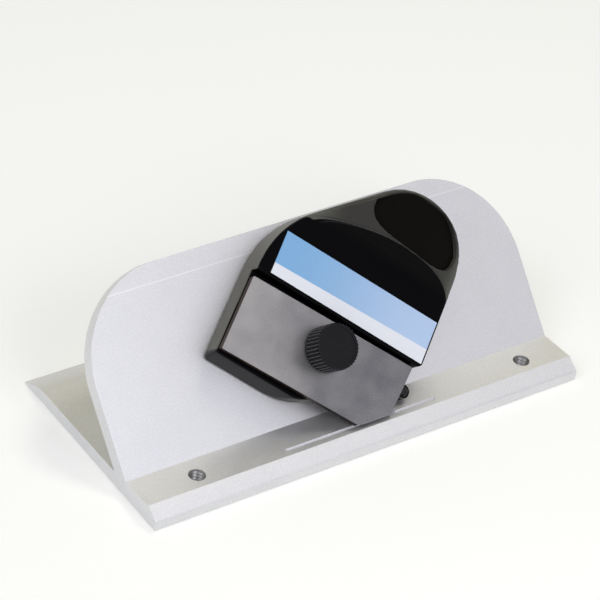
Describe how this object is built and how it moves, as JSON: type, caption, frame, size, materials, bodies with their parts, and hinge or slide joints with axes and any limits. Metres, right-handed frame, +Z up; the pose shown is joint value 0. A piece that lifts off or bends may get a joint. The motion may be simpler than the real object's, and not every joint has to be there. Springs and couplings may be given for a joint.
{
  "type": "hand-held bevel cutter",
  "caption": "Hand-held bevel cutter: an aluminium base with a leaning fin and a swinging moulded head that clamps a blade over a slot in the base.",
  "frame": {"origin": "centre of the base's rectangle, on its underside", "axes": "+X along the base's long edges, +Y from the thick front edge towards the thin back edge, +Z up"},
  "size_m": [0.178, 0.0812, 0.0628],
  "materials": {
    "anodised_aluminium": "bead-blasted and clear anodised",
    "moulded_black_plastic": "moulded, glossy front and satin sides",
    "thumb_pad_rubber": "matt",
    "label_film": "printed film, no lettering",
    "plate_steel": "grey, slightly mottled",
    "blade_steel": "ground",
    "black_oxide_steel": "black oxide, turned and knurled",
    "zinc_steel": "zinc plated",
    "brass": "turned",
    "nylon": "natural",
    "black_rubber": "matt"
  },
  "bodies": {
    "base": {"base_extrusion": "anodised_aluminium", "pivot_bushing": "brass"},
    "head": {"head_shell": "moulded_black_plastic", "thumb_pad": "thumb_pad_rubber", "label": "label_film", "glide_pad_1": "nylon", "glide_pad_2": "nylon", "glide_pad_3": "nylon", "heel_stop_ring": "black_rubber", "heel_stop_screw": "black_oxide_steel", "clamp_insert": "brass", "pivot_insert": "brass", "pivot_screw": "black_oxide_steel", "pivot_washer": "zinc_steel", "wave_washer": "zinc_steel", "friction_washer": "nylon"},
    "blade": {"blade": "blade_steel"},
    "clamp_plate": {"clamp_plate": "plate_steel"},
    "knob": {"clamp_knob": "black_oxide_steel", "clamp_stud": "zinc_steel"}
  },
  "joints": [
    {"name": "head_pivot", "type": "hinge", "parent": "base", "child": "head", "pos_m": [0.0245, -0.00605, 0.0214], "axis": [0, 0.7071, -0.7071], "range_deg": [0, 25]},
    {"name": "blade_slide", "type": "slide", "parent": "head", "child": "blade", "axis": [0.7157, -0.4939, -0.4939], "range_m": [-0.012, 0.018]},
    {"name": "plate_release", "type": "slide", "parent": "head", "child": "clamp_plate", "axis": [0, -0.7071, 0.7071], "range_m": [0, 0.00106]},
    {"name": "knob_turn", "type": "hinge", "parent": "clamp_plate", "child": "knob", "pos_m": [-0.00766, -0.01531, 0.0284], "axis": [0, -0.7071, 0.7071], "range_deg": [0, 360]}
  ],
  "couplings": [
    {"joint": "plate_release", "follows": "knob_turn", "m_per_rad": 0.0001684}
  ]
}
